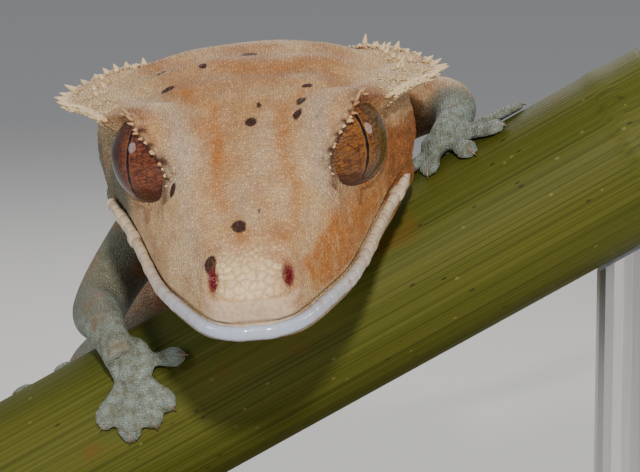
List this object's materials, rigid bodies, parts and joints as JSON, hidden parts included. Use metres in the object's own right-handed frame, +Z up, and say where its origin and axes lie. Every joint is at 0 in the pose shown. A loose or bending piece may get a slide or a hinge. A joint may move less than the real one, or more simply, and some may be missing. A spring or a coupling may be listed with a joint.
{
  "type": "crested gecko",
  "caption": "Life-size crested gecko crouched across a slanting length of green cane, facing forward, held by a plain display stand.",
  "frame": {"origin": "on the underside of the base, straight below the middle of the cane under the gecko's chest", "axes": "the gecko faces -Y, +X is on its left and +Z is up"},
  "size_m": [0.098, 0.1481, 0.0764],
  "materials": {
    "skin": "dry granular skin, cream to orange tan with pale crests and dark spots",
    "limb_skin": "dry granular skin, grey green to tan, with pale toe pads",
    "eye": "glossy clear cover over a veined copper brown iris with an upright slit pupil",
    "cane": "smooth olive green stem with fine lengthwise lines and small specks",
    "rod": "brushed",
    "base": "black stained, satin"
  },
  "bodies": {
    "root": {"head": "skin", "lower_jaw": "skin", "neck": "skin", "torso": "skin", "tail_root": "skin", "tail_middle": "skin", "tail_end": "skin", "upper_arm_right": "limb_skin", "forearm_right": "limb_skin", "thigh_right": "limb_skin", "shin_right": "limb_skin", "upper_arm_left": "limb_skin", "forearm_left": "limb_skin", "thigh_left": "limb_skin", "shin_left": "limb_skin", "hand_right": "limb_skin", "hand_left": "limb_skin", "foot_right": "limb_skin", "foot_left": "limb_skin", "eye_left": "eye", "eye_right": "eye", "perch_cane": "cane", "stand_rod_low": "rod", "stand_rod_high": "rod", "stand_base": "base"}
  },
  "joints": []
}
